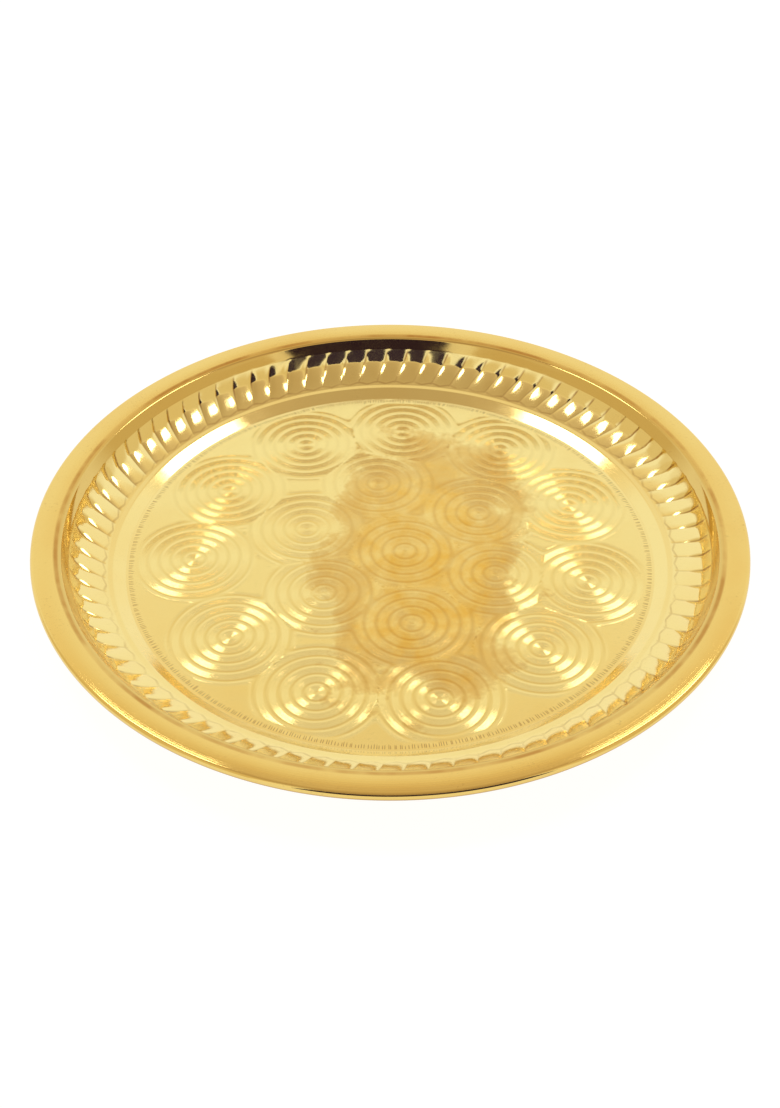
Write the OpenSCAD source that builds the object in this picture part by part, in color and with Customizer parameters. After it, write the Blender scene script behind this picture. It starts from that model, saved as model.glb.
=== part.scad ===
// Round brass serving plate: one pressed sheet with a fluted wall, and a wire in its rolled rim.
// Lengths are in millimetres. The plate stands on z = 0 and its axis is the z axis.

/* [Plate] */
// Outside diameter over the rolled rim
plate_d = 280; // [200:1:400]
// Thickness of the brass sheet
sheet_t = 0.8; // [0.6:0.05:1]
// Depth of the dish, from the crease of the flange down to the floor
dish_h = 17.3; // [15:0.1:20]

/* [Bevel around the floor] */
// Width of the bevel band
bevel_w = 4.6; // [3:0.1:6]
// Rise of the bevel band
bevel_h = 2.75; // [1.5:0.05:4]
// Rounding at the top of the bevel band
bevel_r = 1.5; // [1.2:0.1:2]
// Width of the ledge between the bevel band and the flutes
ledge_w = 2.5; // [2:0.1:4]
// Rise of the ledge
ledge_h = 0.25; // [0.1:0.05:0.6]

/* [Fluted wall] */
// Width of the wall, from the foot of the flutes to the crease
wall_w = 16.6; // [15:0.1:20]
// Radius of the hollow curve of the wall
cove_r = 34; // [28:0.5:50]
// Height of the plain collar between the flutes and the crease
collar_h = 4.2; // [3.5:0.1:6]
// Distance from one flute to the next at the middle of the wall
flute_pitch = 8.8; // [6:0.1:14]
// Depth of the hollow along the flutes
hollow_h = 0.9; // [0.4:0.05:1.2]
// Depth of the notches between the flutes
notch_h = 0.7; // [0.3:0.05:1]
// Sideways lean of a flute between its foot and its head
flute_lean = 6.2; // [0:0.1:8]

/* [Rim] */
// Width of the flange, from the crease to the outside of the roll
flange_w = 11; // [9:0.1:16]
// Rise of the flange from the crease to the top of the roll
flange_h = 0.45; // [0.2:0.05:1]
// Radius of the crown of the flange
crown_r = 36; // [30:1:60]
// Rounding of the crease between the collar and the flange
crease_r = 1.4; // [1.2:0.1:2]
// Diameter of the wire inside the roll
wire_d = 1.5; // [1.2:0.05:2.5]
// Clearance around the wire inside the roll
wire_fit = 0.05; // [0.03:0.01:0.1]
// Gap between the two ends of the wire
wire_gap = 1.5; // [0.5:0.1:5]
// Gap between the curled edge of the sheet and the flange
curl_gap = 0.3; // [0.2:0.05:0.6]

/* [Hidden] */

brass = [0.86, 0.66, 0.25];
wire_brass = [0.72, 0.54, 0.22];

// Rounding of the scribed line around the floor
scribe_r = 0.3;
// Overlap that joins the flutes to the plain sheet on both sides
lap = 0.4;
// Step between the flutes and the plain sheet where they overlap
lap_step = 0.02;
// Segments of a bend, of the crown and of the roll
bend_n = 4;
crown_n = 6;
roll_n = 30;
// Columns of facets across one flute
flute_cols = 4;

// Places along the flutes where the facets meet, as shares of the way from foot to head
row_shares = [0, 0.08, 0.4, 0.68, 0.85, 1];
// Place where the hollow and the notches are deepest
deep_share = 0.68;
// Place where the notches reach their depth at the foot, and what part of the depth it is
foot_share = 0.08;
foot_depth_share = 0.2;
// Turn of the first flute
first_turn = 1.2;

// Radii and heights of the upper surface, from the rim inwards
roll_r = wire_d / 2 + wire_fit + sheet_t;
rim_r = plate_d / 2;
crease_at = [rim_r - flange_w, sheet_t + dish_h];
foot_at = [crease_at.x - wall_w, sheet_t + bevel_h + ledge_h];
bevel_at = [foot_at.x - ledge_w, sheet_t + bevel_h];
floor_at = [bevel_at.x - bevel_w, sheet_t];
roll_at = [rim_r - roll_r, crease_at.y + flange_h - roll_r];

// Unit vector that is square to a heading, on its upper side
function square_to(heading) = [-sin(heading), cos(heading)];

// Heading of the straight way from one point to another
function way(from, to) = atan2(to.y - from.y, to.x - from.x);

// Point where two circles meet, on the left of the way from the first centre to the second
function meet(a, ra, b, rb) =
    let (far = norm(b - a), along = (far * far + ra * ra - rb * rb) / (2 * far), dir = (b - a) / far)
    a + along * dir + sqrt(ra * ra - along * along) * [-dir.y, dir.x];

// Stretch of upper surface that turns left around a centre: places and headings
function left_turn(centre, radius, from, to, count) =
    [for (i = [0:count]) let (a = from + (to - from) * i / count) [centre - radius * square_to(a), a]];

// Stretch of upper surface that turns right around a centre: places and headings
function right_turn(centre, radius, from, to, count) =
    [for (i = [0:count]) let (a = from + (to - from) * i / count) [centre + radius * square_to(a), a]];

// Rounded corner between two straight stretches
function left_bend(corner, radius, from, to) =
    let (start = corner - radius * tan((to - from) / 2) * [cos(from), sin(from)])
    left_turn(start + radius * square_to(from), radius, from, to, bend_n);

function right_bend(corner, radius, from, to) =
    let (start = corner - radius * tan((from - to) / 2) * [cos(from), sin(from)])
    right_turn(start - radius * square_to(from), radius, from, to, bend_n);

// Outline of a strip of sheet under a stretch of upper surface
function strip(path) = concat(
    [for (p = path) p[0]],
    [for (i = [len(path) - 1:-1:0]) path[i][0] - sheet_t * square_to(path[i][1])]);

// Bevel band and ledge
bevel_way = way(floor_at, bevel_at);
ledge_way = way(bevel_at, foot_at);

// The crown of the flange starts at the crease and runs smoothly into the roll
crown_at = meet(roll_at, crown_r - roll_r, crease_at, crown_r);
crown_from = way(crown_at, crease_at) - 90;
crown_to = way(crown_at, roll_at) - 90;

// The cove starts at the foot of the flutes and runs smoothly into the crease
crease_centre = crease_at - crease_r * square_to(crown_from);
cove_at = meet(foot_at, cove_r, crease_centre, cove_r + crease_r);
cove_from = way(cove_at, foot_at) + 90;
cove_to = way(cove_at, crease_centre) + 90;
head_way = acos((cove_at.y - crease_at.y + collar_h) / cove_r);

// The roll turns until its edge is a gap short of the flange
curl_end = 180 - asin((roll_r - sheet_t - curl_gap) / roll_r);
curl_to = curl_end - 90 - 360;

// Overlap along the cove, as an angle
lap_way = lap / cove_r * 180 / PI;

// Flutes
flute_r = (foot_at.x + crease_at.x) / 2;
flute_n = round(2 * PI * flute_r / flute_pitch);
ring_n = flute_n * flute_cols;
lean_way = flute_lean / flute_r * 180 / PI;

// Smooth rise from 0 to 1
function smooth(x) = let (t = min(max(x, 0), 1)) t * t * (3 - 2 * t);

// Depth of the hollow along the flutes and of the notches between them, as shares of their full depth
function fall_at(share) = min((1 - share) / (1 - deep_share), 1);
function hollow_at(share) = min(share / deep_share, fall_at(share));
function notch_at(share) =
    smooth(share / foot_share) * fall_at(share)
    * (foot_depth_share + (1 - foot_depth_share) * smooth((share - foot_share) / (deep_share - foot_share)));

// Share of the notch across one flute: none in the middle, where the flute bulges, and all at its sides
function across(col) = pow(abs(2 * (col % flute_cols) / flute_cols - 1), 3);

// One ring of points around the wall, set down from the upper surface by the flutes and by more
function ring(place, heading, share, more) =
    [for (col = [0:ring_n - 1])
        let (depth = hollow_h * hollow_at(share) + notch_h * notch_at(share) * across(col),
             down = place - (more + depth) * square_to(heading),
             turn = first_turn + 360 * col / ring_n - lean_way * share)
        [down.x * cos(turn), down.x * sin(turn), down.y]];

function cove_ring(share, more) =
    let (heading = cove_from + (head_way - cove_from) * share)
    ring(cove_at - cove_r * square_to(heading), heading, share, more);

foot_lap = foot_at - lap * [cos(ledge_way), sin(ledge_way)];
foot_seam = foot_at - lap / 2 * [cos(ledge_way), sin(ledge_way)];
head_lap_way = head_way + lap_way;
head_seam_way = head_way + lap_way / 2;
head_lap = cove_at - cove_r * square_to(head_lap_way);
last_row = len(row_shares) - 1;

// Rings of the flutes in order around the section of the sheet
flute_rings = concat(
    [ring(foot_lap, ledge_way, 0, lap_step)],
    [for (i = [0:last_row]) cove_ring(row_shares[i], lap_step)],
    [ring(head_lap, head_lap_way, 1, lap_step)],
    [ring(head_lap, head_lap_way, 1, sheet_t - lap_step)],
    [for (i = [last_row:-1:0]) cove_ring(row_shares[i], sheet_t - lap_step)],
    [ring(foot_lap, ledge_way, 0, sheet_t - lap_step)]);

// Floor, bevel band and ledge
module dish_floor() {
    rotate_extrude($fn = 360)
        polygon(strip(concat(
            [[[0, sheet_t], 0]],
            left_bend(floor_at, scribe_r, 0, bevel_way),
            right_bend(bevel_at, bevel_r, bevel_way, ledge_way),
            [[foot_seam, ledge_way]])));
}

// Band of flutes that bulge between notches, pressed into the sheet
module flutes() {
    rings = len(flute_rings);
    polyhedron(
        points = [for (r = flute_rings) each r],
        faces = [for (i = [0:rings - 1], j = [0:ring_n - 1])
            let (i2 = (i + 1) % rings, j2 = (j + 1) % ring_n)
            each [
                [i * ring_n + j, i2 * ring_n + j2, i2 * ring_n + j],
                [i * ring_n + j, i * ring_n + j2, i2 * ring_n + j2]]]);
}

// Collar, crease, flange and roll
module rim() {
    rotate_extrude($fn = 360)
        polygon(strip(concat(
            left_turn(cove_at, cove_r, head_seam_way, cove_to, bend_n),
            right_turn(crease_centre, crease_r, cove_to, crown_from, bend_n),
            right_turn(crown_at, crown_r, crown_from, crown_to, crown_n),
            right_turn(roll_at, roll_r, crown_to, curl_to, roll_n))));
}

module plate_body() {
    color(brass)
        union() {
            dish_floor();
            flutes();
            rim();
        }
}

// Wire ring that stiffens the rim, open between its two ends
module rim_wire() {
    gap_way = wire_gap / roll_at.x * 180 / PI;
    color(wire_brass)
        rotate([0, 0, 90 + gap_way / 2])
            rotate_extrude(angle = 360 - gap_way, $fn = 360)
                translate(roll_at)
                    circle(d = wire_d, $fn = 48);
}

plate_body();
rim_wire();
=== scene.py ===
# Round brass thali plate: one pressed sheet with a fluted wall, and a wire in its rolled rim.
# Lengths are in metres. The plate stands on z = 0 and its axis is the z axis.
import math

import bpy
import numpy as np
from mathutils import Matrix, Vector


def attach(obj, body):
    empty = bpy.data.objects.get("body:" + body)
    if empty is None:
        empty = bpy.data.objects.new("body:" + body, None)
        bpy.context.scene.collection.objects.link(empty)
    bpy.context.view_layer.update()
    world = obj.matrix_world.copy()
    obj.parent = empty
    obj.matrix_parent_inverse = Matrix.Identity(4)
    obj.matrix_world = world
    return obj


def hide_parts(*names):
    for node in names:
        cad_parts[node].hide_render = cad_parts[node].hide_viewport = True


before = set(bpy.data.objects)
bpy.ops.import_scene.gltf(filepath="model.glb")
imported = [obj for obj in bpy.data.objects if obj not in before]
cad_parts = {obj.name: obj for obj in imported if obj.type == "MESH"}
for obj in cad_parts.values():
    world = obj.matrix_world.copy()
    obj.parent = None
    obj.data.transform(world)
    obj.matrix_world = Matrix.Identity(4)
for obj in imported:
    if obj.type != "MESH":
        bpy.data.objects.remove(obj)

MM = 0.001
TURN = 2 * math.pi
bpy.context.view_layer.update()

# Sizes of the sheet, as in the solids
RIM_R = 140 * MM
SHEET = 0.8 * MM
DISH_H = 17.3 * MM
BEVEL_W = 4.6 * MM
BEVEL_H = 2.75 * MM
BEVEL_R = 1.5 * MM
LEDGE_W = 2.5 * MM
LEDGE_H = 0.25 * MM
WALL_W = 16.6 * MM
COVE_R = 34 * MM
COLLAR_H = 4.2 * MM
FLANGE_W = 11 * MM
FLANGE_H = 0.45 * MM
CROWN_R = 36 * MM
CREASE_R = 1.4 * MM
SCRIBE_R = 0.3 * MM
WIRE_D = 1.5 * MM
WIRE_FIT = 0.05 * MM
CURL_GAP = 0.3 * MM

# Flutes
FLUTE_N = 86
FLUTE_LEAN = 6.2 * MM
FLUTE_TURN = math.radians(1.2)
HOLLOW_H = 0.9 * MM
NOTCH_H = 0.7 * MM
NOTCH_POWER = 3
DEEP_SHARE = 0.68
FOOT_SHARE = 0.08
FOOT_DEPTH_SHARE = 0.2
BEND_SOFT = 0.07

# Rosettes of rings on the floor: the rings' steps, depth and count, and the turned lines between them
RING_PITCH = 4.6 * MM
RING_COUNT = 5
RING_H = 0.04 * MM
MERGE = 1.2 * MM
LATHE_LINES = 14
LATHE_SLOPE = 0.345
RIM_LATHE_SLOPE = 0.45
ROSETTES = MM * np.array([
    (6.0, 0.5),
    (-5.1, 43.9), (36.5, 24.4), (41.5, -13.0), (8.4, -41.0), (-25.7, -24.0), (-34.0, 14.4),
    (5.5, 80.5), (47.9, 67.5), (74.4, 29.4), (77.5, -17.5), (56.8, -54.6), (17.8, -79.9),
    (-26.8, -77.0), (-60.4, -48.5), (-78.3, -4.3), (-67.5, 38.8), (-36.6, 70.8)])

# Steps of the mesh, on the upper side and on the lower side
FLOOR_STEP = 1.0 * MM
FLUTE_COLS = 10
WALL_COLS = FLUTE_N * FLUTE_COLS
WALL_ROWS = 26
PLAIN_COLS = FLUTE_N * 5
SCRIBE_STEPS, BEVEL_STEPS, FLAT_STEPS = 3, 4, 3
COLLAR_STEPS, CREASE_STEPS, CROWN_STEPS, ROLL_STEPS = 5, 5, 7, 20
UNDER_ROLL_STEPS, UNDER_CROWN_STEPS, UNDER_BEND_STEPS, UNDER_SCRIBE_STEPS = 12, 4, 3, 2
UNDER_ROWS = 12

# Rings under the floor, as shares of its radius, and their points
UNDER_RINGS = ((0.85, 215), (0.6, 108), (0.3, 54), (0.1, 18))


# The section of the sheet: places as radius and height, and headings along it

def square_to(heading):
    return np.array([-math.sin(heading), math.cos(heading)])


def way(start, end):
    return math.atan2(end[1] - start[1], end[0] - start[0])


def meet(a, ra, b, rb):
    """Where two circles meet, on the left of the way from a to b."""
    far = np.linalg.norm(b - a)
    along = (far * far + ra * ra - rb * rb) / (2 * far)
    direction = (b - a) / far
    left = np.array([-direction[1], direction[0]])
    return a + along * direction + math.sqrt(ra * ra - along * along) * left


def left_turn(centre, radius, start, end, count):
    return [(centre - radius * square_to(a), a) for a in np.linspace(start, end, count + 1)]


def right_turn(centre, radius, start, end, count):
    return [(centre + radius * square_to(a), a) for a in np.linspace(start, end, count + 1)]


def left_bend(corner, radius, start, end, count):
    begin = corner - radius * math.tan((end - start) / 2) * np.array([math.cos(start), math.sin(start)])
    return left_turn(begin + radius * square_to(start), radius, start, end, count)


def right_bend(corner, radius, start, end, count):
    begin = corner - radius * math.tan((start - end) / 2) * np.array([math.cos(start), math.sin(start)])
    return right_turn(begin - radius * square_to(start), radius, start, end, count)


def between(start, end, count):
    """Stops on the straight way from one stop to another."""
    return [(start[0] + (end[0] - start[0]) * i / count, start[1]) for i in range(1, count)]


roll_r = WIRE_D / 2 + WIRE_FIT + SHEET
crease_at = np.array([RIM_R - FLANGE_W, SHEET + DISH_H])
foot_at = np.array([crease_at[0] - WALL_W, SHEET + BEVEL_H + LEDGE_H])
bevel_at = np.array([foot_at[0] - LEDGE_W, SHEET + BEVEL_H])
floor_at = np.array([bevel_at[0] - BEVEL_W, SHEET])
roll_at = np.array([RIM_R - roll_r, crease_at[1] + FLANGE_H - roll_r])
bevel_way = way(floor_at, bevel_at)
ledge_way = way(bevel_at, foot_at)
crown_at = meet(roll_at, CROWN_R - roll_r, crease_at, CROWN_R)
crown_from = way(crown_at, crease_at) - math.pi / 2
crown_to = way(crown_at, roll_at) - math.pi / 2
crease_centre = crease_at - CREASE_R * square_to(crown_from)
cove_at = meet(foot_at, COVE_R, crease_centre, COVE_R + CREASE_R)
cove_from = way(cove_at, foot_at) + math.pi / 2
cove_to = way(cove_at, crease_centre) + math.pi / 2
head_way = math.acos((cove_at[1] - crease_at[1] + COLLAR_H) / COVE_R)
curl_end = math.pi - math.asin((roll_r - SHEET - CURL_GAP) / roll_r)
curl_to = curl_end - math.pi / 2 - TURN
flute_r = (foot_at[0] + crease_at[0]) / 2
lean_turn = FLUTE_LEAN / flute_r


# The relief of the floor and of the wall

def smooth_step(x):
    x = np.clip(x, 0, 1)
    return x * x * (3 - 2 * x)


def rosette_distance(x, y):
    """Distance to the nearest rosette's centre, blended where two rosettes meet."""
    away = np.hypot(x[:, None] - ROSETTES[:, 0], y[:, None] - ROSETTES[:, 1])
    nearest = away.min(axis=1)
    return nearest - MERGE * np.log(np.exp(-(away - nearest[:, None]) / MERGE).sum(axis=1))


def floor_height(x, y):
    """Height of the ring pattern against the flat floor."""
    away = rosette_distance(x, y)
    ring = 0.5 - 0.5 * np.cos(TURN * away / RING_PITCH)
    edge = (RING_COUNT + 0.5) * RING_PITCH
    inside = smooth_step((floor_at[0] - np.hypot(x, y)) / (0.4 * RING_PITCH))
    return -RING_H * ring * smooth_step((edge - away) / (0.5 * RING_PITCH)) * inside


def rosette_ways(x, y):
    """Directions away from the nearest rosettes' centres."""
    tiny = 0.05 * MM
    slope_x = rosette_distance(x + tiny, y) - rosette_distance(x - tiny, y)
    slope_y = rosette_distance(x, y + tiny) - rosette_distance(x, y - tiny)
    length = np.maximum(np.hypot(slope_x, slope_y), 1e-12)
    return slope_x / length, slope_y / length


def floor_normals(x, y):
    tiny = 0.02 * MM
    slope_x = (floor_height(x + tiny, y) - floor_height(x - tiny, y)) / (2 * tiny)
    slope_y = (floor_height(x, y + tiny) - floor_height(x, y - tiny)) / (2 * tiny)
    n = np.stack([-slope_x, -slope_y, np.ones_like(x)], axis=1)
    return n / np.linalg.norm(n, axis=1, keepdims=True)


def flute_depth(share, across):
    """Depth below the plain wall: flutes that bulge between notches, over one long hollow."""
    rise, fall = share / DEEP_SHARE, (1 - share) / (1 - DEEP_SHARE)
    hollow = -BEND_SOFT * np.log(np.exp(-rise / BEND_SOFT) + np.exp(-fall / BEND_SOFT))
    foot = smooth_step(share / FOOT_SHARE)
    grow = smooth_step((share - FOOT_SHARE) / (DEEP_SHARE - FOOT_SHARE))
    along = foot * (FOOT_DEPTH_SHARE + (1 - FOOT_DEPTH_SHARE) * grow) * np.minimum(fall, 1)
    return HOLLOW_H * hollow + NOTCH_H * along * np.abs(2 * across - 1) ** NOTCH_POWER


def wall_points(share, flute, below):
    """Points of the fluted wall. flute counts flutes and share runs from their foot to their head."""
    heading = cove_from + (head_way - cove_from) * share
    down = below + flute_depth(share, flute % 1.0)
    r = cove_at[0] + (COVE_R + down) * np.sin(heading)
    z = cove_at[1] - (COVE_R + down) * np.cos(heading)
    turn = FLUTE_TURN + TURN * flute / FLUTE_N - lean_turn * share
    return np.stack([r * np.cos(turn), r * np.sin(turn), z], axis=-1)


def wall_normals(share, flute, side, below):
    """Normals of the wall as seen from one side of a notch: 1 is after it and -1 is before it."""
    tiny = 0.003
    flute = flute + 1.1 * side * tiny
    share = np.clip(share, tiny, 1 - tiny)
    across = wall_points(share, flute + tiny, below) - wall_points(share, flute - tiny, below)
    along = wall_points(share + tiny, flute, below) - wall_points(share - tiny, flute, below)
    n = np.cross(along, across)
    return n / np.linalg.norm(n, axis=-1, keepdims=True)


class Skin:
    """A surface built ring by ring, with its own normals on both sides of each column."""

    def __init__(self):
        self.points, self.before, self.after, self.wall = [], [], [], []
        self.faces, self.marks = [], []
        self.total = 0

    def ring(self, points, before, after=None, wall=None):
        """Adds a ring. before and after are its normals as the faces to its left and right see them.

        wall holds the shares along and across the flutes, or -1 away from them.
        """
        self.wall.append(np.full((len(points), 2), -1.0) if wall is None else wall)
        self.points.append(points)
        self.before.append(before)
        self.after.append(before if after is None else after)
        self.total += len(points)
        return self.total - len(points), len(points)

    def plain_ring(self, place, normal, count, shift=0.0):
        """A ring of the section of the sheet: its place and its normal, as radius and height."""
        a = FLUTE_TURN + shift + TURN * np.arange(count) / count
        c, s = np.cos(a), np.sin(a)
        return self.ring(np.stack([place[0] * c, place[0] * s, np.full(count, place[1])], axis=1),
                         np.stack([normal[0] * c, normal[0] * s, np.full(count, normal[1])], axis=1))

    def join(self, inner, outer, mark):
        """Faces between two rings that start at the same turn. Returns the second ring."""
        (fa, na), (fb, nb) = inner, outer
        if na == nb:
            for j in range(na):
                k = (j + 1) % na
                self.faces.append(((fa + j, 1), (fb + j, 1), (fb + k, 0), (fa + k, 0)))
                self.marks.append(mark)
            return outer
        # A ring that is a single point has no sides
        i, j = int(na == 1), int(nb == 1)
        while i < na or j < nb:
            if (i + 1) / na <= (j + 1) / nb and i < na or j == nb:
                self.faces.append(((fa + i % na, 1), (fb + j % nb, 0), (fa + (i + 1) % na, 0)))
                i += 1
            else:
                self.faces.append(((fa + i % na, 1), (fb + j % nb, 1), (fb + (j + 1) % nb, 0)))
                j += 1
            self.marks.append(mark)
        return outer

    def mesh(self, name):
        points = np.concatenate(self.points)
        before, after = np.concatenate(self.before), np.concatenate(self.after)
        data = bpy.data.meshes.new(name)
        data.from_pydata(points.tolist(), [], [[v for v, _ in face] for face in self.faces])
        data.polygons.foreach_set("use_smooth", [True] * len(data.polygons))
        data.polygons.foreach_set("material_index", self.marks)
        data.update()
        sides = before.tolist(), after.tolist()
        data.normals_split_custom_set([sides[side][v] for face in self.faces for v, side in face])
        for k, key in enumerate(("wall_share", "wall_notch")):
            wall = data.attributes.new(key, "FLOAT", "POINT")
            wall.data.foreach_set("value", np.concatenate(self.wall)[:, k].astype(np.float32))
        x, y = points[:, 0], points[:, 1]
        away = data.attributes.new("rosette_away", "FLOAT", "POINT")
        away.data.foreach_set("value", (rosette_distance(x, y) / RING_PITCH).astype(np.float32))
        ray = data.attributes.new("rosette_ray", "FLOAT_VECTOR", "POINT")
        rays = np.stack([*rosette_ways(x, y), 0 * x], axis=1)
        ray.data.foreach_set("vector", rays.astype(np.float32).ravel())
        return data


FLOOR, WALL, RIM, UNDER = range(4)


def floor_part(skin):
    """The floor with its rosettes, from the middle out."""
    edge = left_bend(floor_at, SCRIBE_R, 0, bevel_way, SCRIBE_STEPS)
    zero = np.zeros(1)
    last = skin.ring(np.array([[0, 0, SHEET + floor_height(zero, zero)[0]]]), floor_normals(zero, zero))
    steps = round(edge[0][0][0] / FLOOR_STEP)
    for i in range(1, steps):
        r = edge[0][0][0] * i / steps
        count = max(6, round(TURN * r / FLOOR_STEP))
        a = FLUTE_TURN + TURN * np.arange(count) / count
        x, y = r * np.cos(a), r * np.sin(a)
        ring = skin.ring(np.stack([x, y, SHEET + floor_height(x, y)], axis=1), floor_normals(x, y))
        last = skin.join(last, ring, FLOOR)
    return last, edge


def upper_part(skin):
    """The upper side of the sheet, from the middle of the floor to the edge curled under the rim."""
    last, edge = floor_part(skin)
    bevel = right_bend(bevel_at, BEVEL_R, bevel_way, ledge_way, BEVEL_STEPS)
    slope = between(edge[-1], bevel[0], FLAT_STEPS)
    ledge = between(bevel[-1], (foot_at, 0), FLAT_STEPS)
    for place, heading in edge + slope + bevel + ledge:
        last = skin.join(last, skin.plain_ring(place, square_to(heading), PLAIN_COLS), WALL)

    flutes = np.arange(WALL_COLS) / FLUTE_COLS
    for i in range(WALL_ROWS + 1):
        share = np.full(WALL_COLS, i / WALL_ROWS)
        ring = skin.ring(wall_points(share, flutes, 0.0),
                         wall_normals(share, flutes, -1, 0.0), wall_normals(share, flutes, 1, 0.0),
                         np.stack([share, np.abs(2 * (flutes % 1.0) - 1)], axis=1))
        last = skin.join(last, ring, WALL)

    rim = (left_turn(cove_at, COVE_R, head_way, cove_to, COLLAR_STEPS)[1:]
           + right_turn(crease_centre, CREASE_R, cove_to, crown_from, CREASE_STEPS)[1:]
           + right_turn(crown_at, CROWN_R, crown_from, crown_to, CROWN_STEPS)[1:]
           + right_turn(roll_at, roll_r, crown_to, curl_to, ROLL_STEPS)[1:])
    for place, heading in rim:
        last = skin.join(last, skin.plain_ring(place, square_to(heading), PLAIN_COLS, -lean_turn), RIM)
    return last


def lower_part(skin, last):
    """The lower side of the sheet, from the curled edge back to the middle."""
    def down(stops):
        return [(place - SHEET * square_to(a), -square_to(a)) for place, a in reversed(stops)]

    rim = (down(right_turn(roll_at, roll_r, crown_to, curl_to, UNDER_ROLL_STEPS))
           + down(right_turn(crown_at, CROWN_R, crown_from, crown_to, UNDER_CROWN_STEPS))[1:]
           + down(right_turn(crease_centre, CREASE_R, cove_to, crown_from, UNDER_BEND_STEPS))[1:]
           + down(left_turn(cove_at, COVE_R, head_way, cove_to, UNDER_BEND_STEPS))[1:-1])
    for place, normal in rim:
        last = skin.join(last, skin.plain_ring(place, normal, PLAIN_COLS, -lean_turn), UNDER)

    flutes = np.arange(PLAIN_COLS) / (PLAIN_COLS / FLUTE_N)
    for i in range(UNDER_ROWS, -1, -1):
        share = np.full(PLAIN_COLS, i / UNDER_ROWS)
        ring = skin.ring(wall_points(share, flutes, SHEET),
                         -wall_normals(share, flutes, -1, SHEET), -wall_normals(share, flutes, 1, SHEET))
        last = skin.join(last, ring, UNDER)

    inner = down(left_bend(floor_at, SCRIBE_R, 0, bevel_way, UNDER_SCRIBE_STEPS)
                 + right_bend(bevel_at, BEVEL_R, bevel_way, ledge_way, UNDER_BEND_STEPS))
    for place, normal in inner:
        last = skin.join(last, skin.plain_ring(place, normal, PLAIN_COLS), UNDER)
    for share, count in UNDER_RINGS:
        ring = skin.plain_ring(np.array([share * floor_at[0], 0.0]), np.array([0, -1.0]), count)
        last = skin.join(last, ring, UNDER)
    skin.join(last, skin.ring(np.zeros((1, 3)), np.array([[0, 0, -1.0]])), UNDER)


# Materials

# Colours of worn and dirty brass, of painted shade in the notches, on the collar, along the crease, under the
# roll and in the ring grooves, and of a painted amber reflection on the floor
SPECK_COLOUR = (0.32, 0.15, 0.05)
NOTCH_SHADE_COLOUR = (0.34, 0.16, 0.04)
COLLAR_SHADE_COLOUR = (0.5, 0.33, 0.11)
CREASE_SHADE_COLOUR = (0.5, 0.24, 0.05)
ROLL_SHADE_COLOUR = (0.34, 0.15, 0.04)
AMBER_REFLECTION_COLOUR = (0.82, 0.50, 0.09)
AMBER_REFLECTION_EDGE_COLOUR = (0.62, 0.35, 0.08)
GROOVE_SHADE_COLOUR = (0.5, 0.27, 0.07)
TICK_COLOUR = (0.3, 0.14, 0.04)

# Radii between which a mark or its lines fade in or out
GROOVES_FADE = (98 * MM, 102 * MM)
STREAKS_FADE = (100 * MM, 102 * MM)
TICKS_FADE = (103.2 * MM, 104 * MM)
COLLAR_SHADE_FADE = (128.8 * MM, 130.4 * MM)
RIM_LINES_FADE = (129.2 * MM, 130.5 * MM)
ROLL_SHADE_FADE = (137.4 * MM, 138.2 * MM)

# Radii of the scribed line and of the painted shade along the crease, and their half widths inside and outside
SCRIBE_RING = (104.95 * MM, 0.12 * MM, 0.3 * MM)
CREASE_SHADE_RING = (130.2 * MM, 0.4 * MM, 1.2 * MM)

# Painted amber reflection on the floor: its middle and its half sizes
AMBER_REFLECTION_AT = (15 * MM, -3 * MM)
AMBER_REFLECTION_HALF = (41 * MM, 75 * MM)

# Fine lines: ticks in a turn, changes of their length in a turn, and lines in a metre of radius
TICKS = 620.0
TICK_ENDS = 300.0
SPUN_LINES = 5200.0
SPUN_CHANGES = 9.0
RIM_LINES = 9000.0


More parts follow.
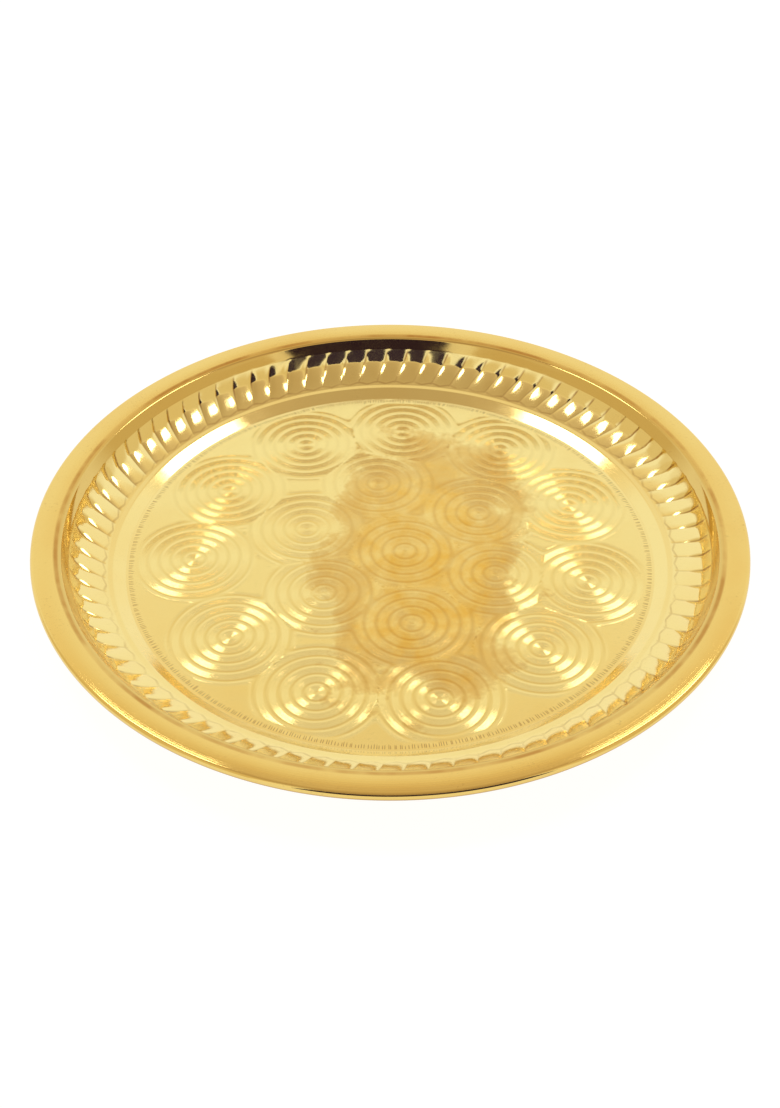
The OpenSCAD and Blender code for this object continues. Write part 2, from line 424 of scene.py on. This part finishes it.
class Nodes:
    """Short ways to add shader nodes to a tree."""

    def __init__(self, tree):
        tree.nodes.clear()
        self.tree = tree

    def add(self, kind, **settings):
        node = self.tree.nodes.new(kind)
        for key, value in settings.items():
            setattr(node, key, value)
        return node

    def feed(self, socket, value):
        if isinstance(value, bpy.types.NodeSocket):
            self.tree.links.new(value, socket)
        else:
            socket.default_value = value

    def maths(self, operation, a, b=0.0):
        node = self.add("ShaderNodeMath", operation=operation)
        self.feed(node.inputs[0], a)
        self.feed(node.inputs[1], b)
        return node.outputs[0]

    def times(self, first, *others):
        """The product of its values."""
        for other in others:
            first = self.maths("MULTIPLY", first, other)
        return first

    def vector(self, operation, a, b=None, out="Vector"):
        node = self.add("ShaderNodeVectorMath", operation=operation)
        self.feed(node.inputs[0], a)
        if b is not None:
            self.feed(node.inputs["Scale" if operation == "SCALE" else 1], b)
        return node.outputs[out]

    def place(self):
        return self.add("ShaderNodeTexCoord").outputs["Object"]

    def parts(self, place):
        """The x, y and z of a place."""
        node = self.add("ShaderNodeSeparateXYZ")
        self.feed(node.inputs[0], place)
        return node.outputs[0], node.outputs[1], node.outputs[2]

    def attribute(self, name, out="Fac"):
        return self.add("ShaderNodeAttribute", attribute_name=name).outputs[out]

    def noise(self, place, scale, detail=3.0, roughness=0.55):
        node = self.add("ShaderNodeTexNoise")
        self.feed(node.inputs["Vector"], place)
        node.inputs["Scale"].default_value = scale
        node.inputs["Detail"].default_value = detail
        node.inputs["Roughness"].default_value = roughness
        return node.outputs["Fac"]

    def line_noise(self, w, detail=2.0):
        """Noise along one value."""
        node = self.add("ShaderNodeTexNoise", noise_dimensions="1D")
        self.feed(node.inputs["W"], w)
        node.inputs["Scale"].default_value = 1.0
        node.inputs["Detail"].default_value = detail
        return node.outputs["Fac"]

    def spread(self, value, low, high, to_low=0.0, to_high=1.0):
        node = self.add("ShaderNodeMapRange", clamp=True)
        self.feed(node.inputs["Value"], value)
        for key, v in (("From Min", low), ("From Max", high), ("To Min", to_low), ("To Max", to_high)):
            self.feed(node.inputs[key], v)
        return node.outputs[0]

    def blend(self, share, a, b):
        node = self.add("ShaderNodeMix", data_type="RGBA")
        self.feed(node.inputs[0], share)
        for socket, v in ((node.inputs[6], a), (node.inputs[7], b)):
            self.feed(socket, v if isinstance(v, bpy.types.NodeSocket) else (*v, 1.0))
        return node.outputs[2]

    def mix(self, share, a, b):
        """One shader changed for another by a share."""
        node = self.add("ShaderNodeMixShader")
        for socket, v in zip(node.inputs, (share, a, b)):
            self.feed(socket, v)
        return node.outputs[0]

    def round_place(self, place):
        """Radius and turn of a place around the axis."""
        x, y, _ = self.parts(place)
        r = self.maths("SQRT", self.maths("ADD", self.times(x, x), self.times(y, y)))
        turn = self.maths("DIVIDE", self.maths("ARCTAN2", y, x), TURN)
        return r, turn

    def ring(self, r, middle, inner, outer):
        """A thin ring around the axis: 1 at its middle radius and 0 beyond."""
        away = self.maths("ABSOLUTE", self.maths("SUBTRACT", r, middle))
        return self.spread(away, inner, outer, 1.0, 0.0)

    def tilted(self, normal, ray, slope):
        """A normal tilted along a ray, as by fine turned lines that run square to the ray."""
        return self.vector("NORMALIZE", self.vector("SUBTRACT", normal, self.vector("SCALE", ray, slope)))

    def bump(self, height, strength, distance, normal=None):
        node = self.add("ShaderNodeBump")
        node.inputs["Strength"].default_value = strength
        node.inputs["Distance"].default_value = distance
        self.feed(node.inputs["Height"], height)
        if normal is not None:
            self.feed(node.inputs["Normal"], normal)
        return node.outputs[0]


def new_material(name):
    material = bpy.data.materials.new(name)
    material.use_nodes = True
    n = Nodes(material.node_tree)
    return material, n, n.add("ShaderNodeOutputMaterial").inputs[0]


def brass(name, colour, tarnish, roughness, spread, spun=0.0, floor=False, rim=False, speckle=0.15):
    """Brass with clouds of tarnish and brown specks, and where asked with spun lines, painted shade and other
    marks.
    """
    material, n, out = new_material(name)
    place = n.place()
    r, turn = n.round_place(place)

    clouds = n.spread(n.noise(place, 22.0, 4.0), 0.45, 0.7)
    colour = n.blend(n.times(clouds, 0.3), colour, tarnish)
    fine = n.spread(n.noise(place, 900.0, 2.0, 0.6), 0.58, 0.72)
    where = n.spread(n.noise(place, 60.0, 3.0, 0.6), 0.45, 0.75)
    colour = n.blend(n.times(fine, where, speckle), colour, SPECK_COLOUR)
    rough = n.spread(n.noise(place, 140.0, 4.0), 0.3, 0.7, roughness - spread, roughness + spread)
    normal = n.bump(n.noise(place, 700.0, 2.0), 0.1, 0.03 * MM)

    if spun:
        lines = n.add("ShaderNodeTexNoise", noise_dimensions="2D")
        join = n.add("ShaderNodeCombineXYZ")
        n.feed(join.inputs[0], n.times(r, SPUN_LINES))
        n.feed(join.inputs[1], n.times(turn, SPUN_CHANGES))
        n.feed(lines.inputs["Vector"], join.outputs[0])
        lines.inputs["Scale"].default_value = 1.0
        lines.inputs["Detail"].default_value = 3.0
        normal = n.bump(lines.outputs["Fac"], spun, 0.04 * MM, normal)
        uneven = n.spread(n.noise(place, 110.0, 3.0), 0.35, 0.6, 0.15, 0.8)
        # Painted shade: dark lines in the notches of the flutes and along their foot
        colour = n.blend(n.times(notch_painted_shade(n), uneven), colour, NOTCH_SHADE_COLOUR)
    if rim:
        colour, normal = rim_marks(n, place, r, colour, normal)
    if floor:
        colour, rough, normal = floor_marks(n, place, r, turn, colour, rough, normal)

    surface = n.add("ShaderNodeBsdfPrincipled")
    for key, value in (("Metallic", 1.0), ("Base Color", colour), ("Roughness", rough), ("Normal", normal)):
        n.feed(surface.inputs[key], value)
    n.feed(out, surface.outputs[0])
    return material


def notch_painted_shade(n):
    """Dark lines of painted shade in the notches, and fainter ones along the zigzag foot of the flutes."""
    share, notch = n.attribute("wall_share"), n.attribute("wall_notch")
    line = n.times(n.spread(notch, 0.84, 0.96), n.spread(share, 0.35, 0.7, 0.35, 1.0),
                   n.spread(share, 0.02, 0.06), n.spread(share, 0.92, 1.0, 1.0, 0.0))
    zigzag = n.maths("ADD", n.times(notch, 0.08), 0.02)
    foot = n.maths("ABSOLUTE", n.maths("SUBTRACT", share, zigzag))
    return n.maths("MAXIMUM", line, n.spread(foot, 0.012, 0.04, 0.4, 0.0))


def rim_marks(n, place, r, colour, normal):
    """Painted shade on the collar, along the crease and under the roll, and turned lines on the flange."""
    # Painted shade: the collar darker and browner, for the dim reflections it shows
    colour = n.blend(n.spread(r, *COLLAR_SHADE_FADE, 0.35, 0.0), colour, COLLAR_SHADE_COLOUR)
    # Painted shade: an uneven darker ring along the crease
    uneven = n.spread(n.noise(place, 40.0, 3.0), 0.4, 0.6, 0.25, 0.85)
    colour = n.blend(n.times(n.ring(r, *CREASE_SHADE_RING), uneven), colour, CREASE_SHADE_COLOUR)
    # Painted shade: the lower side of the outer roll darker
    low = n.spread(n.parts(place)[2], roll_at[1] - 0.6 * MM, roll_at[1] + 0.2 * MM, 0.75, 0.0)
    colour = n.blend(n.times(low, n.spread(r, *ROLL_SHADE_FADE)), colour, ROLL_SHADE_COLOUR)

    lathe = n.maths("SUBTRACT", n.line_noise(n.times(r, RIM_LINES), 1.0), 0.5)
    slope = n.times(lathe, n.spread(r, *RIM_LINES_FADE, 0.0, RIM_LATHE_SLOPE))
    ray = n.vector("NORMALIZE", n.vector("MULTIPLY", place, (1, 1, 0)))
    return colour, n.tilted(normal, ray, slope)


def floor_marks(n, place, r, turn, colour, rough, normal):
    """The rosettes' rings with painted shade in their grooves, a painted amber reflection, the scribed line,
    its ticks and the streaks of turned lines.
    """
    away = n.attribute("rosette_away")
    wave = n.maths("ADD", n.times(n.maths("COSINE", n.times(away, TURN)), 0.5), 0.5)
    inside = n.spread(away, RING_COUNT + 0.2, RING_COUNT + 0.6, 1.0, 0.0)
    groove = n.times(n.maths("POWER", wave, 3.0), inside, n.spread(r, *GROOVES_FADE, 1.0, 0.0))
    normal = n.bump(n.maths("SUBTRACT", 1.0, groove), 1.0, 0.08 * MM, normal)

    # Painted reflection: an amber patch with a darker edge, for the dim back of the tent that the floor
    # reflects; the floor is also a little rougher there
    oval = n.add("ShaderNodeMapping")
    oval.inputs["Location"].default_value = (*[-at / half for at, half in zip(AMBER_REFLECTION_AT, AMBER_REFLECTION_HALF)], 0)
    oval.inputs["Scale"].default_value = (*[1 / half for half in AMBER_REFLECTION_HALF], 1)
    n.feed(oval.inputs["Vector"], place)
    far = n.vector("LENGTH", oval.outputs[0], out="Value")
    warp = n.times(n.maths("SUBTRACT", n.noise(place, 26.0, 6.0, 0.66), 0.5), 2.1)
    amber_reflection = n.spread(n.maths("ADD", far, warp), 0.6, 1.1, 1.0, 0.0)
    edge = n.times(amber_reflection, n.maths("SUBTRACT", 1.0, amber_reflection), 1.5)
    patches = n.spread(n.noise(place, 75.0, 5.0, 0.65), 0.35, 0.65, 0.25, 0.95)
    colour = n.blend(n.times(amber_reflection, patches), colour, AMBER_REFLECTION_COLOUR)
    colour = n.blend(edge, colour, AMBER_REFLECTION_EDGE_COLOUR)
    # Painted shade in the rings' grooves, stronger inside the painted amber reflection
    colour = n.blend(n.times(groove, n.spread(amber_reflection, 0.0, 1.0, 0.05, 0.26)), colour, GROOVE_SHADE_COLOUR)
    rough = n.maths("ADD", rough, n.times(amber_reflection, 0.06))

    cells = n.add("ShaderNodeTexVoronoi", voronoi_dimensions="1D", feature="F1")
    n.feed(cells.inputs["W"], n.times(turn, TICKS))
    cells.inputs["Scale"].default_value = 1.0
    cells.inputs["Randomness"].default_value = 0.7
    start = n.maths("ADD", r, n.times(n.line_noise(n.times(turn, TICK_ENDS)), 2.2 * MM))
    ticks = n.times(n.spread(cells.outputs["Distance"], 0.05, 0.22, 1.0, 0.0), n.spread(start, *TICKS_FADE))
    marks = n.maths("MAXIMUM", n.times(ticks, 0.62), n.times(n.ring(r, *SCRIBE_RING), 0.8))
    colour = n.blend(marks, colour, TICK_COLOUR)

    band = n.times(n.spread(wave, 0.5, 0.75, 1.0, 0.0), inside, n.spread(r, *STREAKS_FADE, 1.0, 0.0))
    worn = n.times(n.spread(amber_reflection, 0.0, 1.0, 1.0, 0.65),
                   n.spread(n.parts(place)[1], -75 * MM, -50 * MM, 0.88, 1.0),
                   n.spread(r, 30 * MM, 65 * MM, 0.72, 1.0))
    lathe = n.times(n.maths("SINE", n.times(away, TURN * LATHE_LINES)), LATHE_SLOPE, band, worn)
    return colour, rough, n.tilted(normal, n.attribute("rosette_ray", "Vector"), lathe)


def new_object(name, data):
    obj = bpy.data.objects.new(name, data)
    bpy.context.scene.collection.objects.link(obj)
    return obj


skin = Skin()
lower_part(skin, upper_part(skin))
sheet = new_object("plate_sheet", skin.mesh("plate_sheet"))
for material in (
        brass("brass_floor", (0.9, 0.73, 0.3), (0.86, 0.61, 0.19), 0.16, 0.03, floor=True),
        brass("brass_wall", (0.9, 0.73, 0.31), (0.86, 0.6, 0.18), 0.12, 0.035, spun=0.08),
        brass("brass_rim", (0.85, 0.62, 0.2), (0.80, 0.5, 0.13), 0.09, 0.03,
              spun=0.05, rim=True, speckle=0.3),
        brass("brass_under", (0.76, 0.5, 0.14), (0.6, 0.33, 0.08), 0.32, 0.06, spun=0.3, speckle=0.4)):
    sheet.data.materials.append(material)
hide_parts("plate_body")
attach(sheet, "root")

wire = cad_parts["rim_wire"]
wire.data.materials.clear()
wire.data.materials.append(brass("brass_wire", (0.70, 0.42, 0.10), (0.5, 0.27, 0.07), 0.3, 0.05))


# Camera, floor and light of the picture

LAMP_SIZE = (0.19, 0.29)
LAMP_POWER = 1.1

# Size of the picture, as the camera's shift counts it
PICTURE_H = 1108

# Colours of the light tent by height of the direction, and of its front
TENT = [(0.0, (1.04, 1.04, 1.0)), (0.63, (1.02, 1.02, 0.96)), (0.74, (0.93, 0.80, 0.56)),
        (0.84, (0.70, 0.57, 0.41)), (0.99, (0.56, 0.44, 0.29))]
TENT_FRONT = (0.80, 0.68, 0.45)

# Light of the tent on matt surfaces, where what is seen or reflected has 1
TENT_FILL = 0.6

# Floor: half its size, its height just below the plate, its own light and its paper
GROUND_HALF = 3.0
GROUND_Z = -0.2 * MM
GROUND_GLOW = 0.93
GROUND_PAPER = (0.2, 0.2, 0.2, 1.0)


def aim(obj, target):
    obj.rotation_euler = (Vector(target) - obj.location).to_track_quat("-Z", "Y").to_euler()


camera = new_object("camera", bpy.data.cameras.new("camera"))
camera.data.lens = 49.744
camera.data.sensor_width = 36.0
camera.data.clip_start = 0.01
camera.data.shift_x = -0.2 / PICTURE_H
camera.data.shift_y = -1.5 / PICTURE_H
camera.location = (0.0, -0.4607, 0.4077)
aim(camera, (0, 0, 0.0008))
bpy.context.scene.camera = camera


def card(name, x, y, z, colour, soft):
    """An upright card with soft edges that only the plate's reflections see. x and z are its ends."""
    data = bpy.data.meshes.new(name)
    corners = [(x[0], y, z[0]), (x[1], y, z[0]), (x[1], y, z[1]), (x[0], y, z[1])]
    data.from_pydata(corners, [], [(0, 1, 2, 3)])
    obj = new_object(name, data)
    material, n, out = new_material(name)
    at = n.parts(n.place())
    share = n.times(*[
        n.spread(n.maths("ABSOLUTE", n.maths("SUBTRACT", v, (low + high) / 2)),
                 (1 - soft) * (high - low) / 2, (high - low) / 2, 1.0, 0.0)
        for v, (low, high) in ((at[0], x), (at[2], z))])
    glow = n.add("ShaderNodeEmission")
    glow.inputs["Color"].default_value = (*colour, 1.0)
    n.feed(out, n.mix(share, n.add("ShaderNodeBsdfTransparent").outputs[0], glow.outputs[0]))
    data.materials.append(material)
    obj.visible_camera = False
    obj.visible_diffuse = False
    obj.visible_shadow = False


def lamp(name, place):
    data = bpy.data.lights.new(name, "AREA")
    data.shape = "RECTANGLE"
    data.size, data.size_y = LAMP_SIZE
    data.energy = LAMP_POWER
    obj = new_object(name, data)
    obj.location = place
    aim(obj, (0, 0, 0))
    obj.visible_camera = False


def ground():
    """A white floor that takes the plate's shadow, is plain white in its reflections and clear from below."""
    data = bpy.data.meshes.new("ground")
    corners = [(x * GROUND_HALF, y * GROUND_HALF, GROUND_Z) for x, y in ((-1, -1), (1, -1), (1, 1), (-1, 1))]
    data.from_pydata(corners, [], [(0, 1, 2, 3)])
    obj = new_object("ground", data)
    material, n, out = new_material("ground")
    path = n.add("ShaderNodeLightPath").outputs
    paper, lit = n.add("ShaderNodeBsdfDiffuse"), n.add("ShaderNodeEmission")
    paper.inputs["Color"].default_value = GROUND_PAPER
    lit.inputs["Strength"].default_value = GROUND_GLOW
    both = n.add("ShaderNodeAddShader")
    n.feed(both.inputs[0], paper.outputs[0])
    n.feed(both.inputs[1], lit.outputs[0])
    white = n.add("ShaderNodeEmission").outputs[0]
    top = n.mix(n.maths("MAXIMUM", path["Is Glossy Ray"], path["Is Transmission Ray"]), both.outputs[0], white)
    clear = n.add("ShaderNodeBsdfTransparent").outputs[0]
    n.feed(out, n.mix(n.add("ShaderNodeNewGeometry").outputs["Backfacing"], top, clear))
    data.materials.append(material)


def sky():
    """A white light tent. In what the plate reflects, its upper part and its front are warmer and dimmer."""
    world = bpy.data.worlds.new("sky")
    world.use_nodes = True
    bpy.context.scene.world = world
    n = Nodes(world.node_tree)
    out, glow = n.add("ShaderNodeOutputWorld"), n.add("ShaderNodeBackground")
    path = n.add("ShaderNodeLightPath").outputs
    sees = n.maths("MAXIMUM", path["Is Glossy Ray"], path["Is Transmission Ray"])
    sees = n.maths("MAXIMUM", path["Is Camera Ray"], sees)
    _, y, z = n.parts(n.add("ShaderNodeTexCoord").outputs["Generated"])
    tent = n.add("ShaderNodeValToRGB")
    n.feed(tent.inputs[0], z)
    stops = tent.color_ramp.elements
    while len(stops) < len(TENT):
        stops.new(0.5)
    for stop, (height, colour) in zip(stops, TENT):
        stop.position = height
        stop.color = (*colour, 1.0)
    front = n.times(n.spread(y, 0.3, 0.5, 1.0, 0.0), n.spread(z, 0.65, 0.8, 1.0, 0.0))
    low = n.times(n.spread(y, -0.6, -0.4, 1.0, 0.0), n.spread(z, 0.33, 0.45, 1.0, 0.0))
    walls = n.blend(n.times(front, n.maths("SUBTRACT", 1.0, low)), tent.outputs[0], TENT_FRONT)
    n.feed(glow.inputs["Color"], n.blend(path["Is Camera Ray"], walls, (1.0, 1.0, 1.0)))
    n.feed(glow.inputs["Strength"], n.spread(sees, 0.0, 1.0, TENT_FILL, 1.0))
    n.feed(out.inputs[0], glow.outputs[0])


ground()
sky()
card("opening_frame", (-0.33, 0.52), -0.475, (0.19, 0.77), (1.05, 1.03, 0.95), 0.03)
card("dark_opening", (-0.205, 0.408), -0.47, (0.21, 0.75), (0.03, 0.016, 0.05), 0.012)
lamp("lamp_left", (-0.425, 0.263, 0.846))
lamp("lamp_right", (0.447, 0.324, 0.808))

bpy.context.scene.view_settings.view_transform = "Standard"
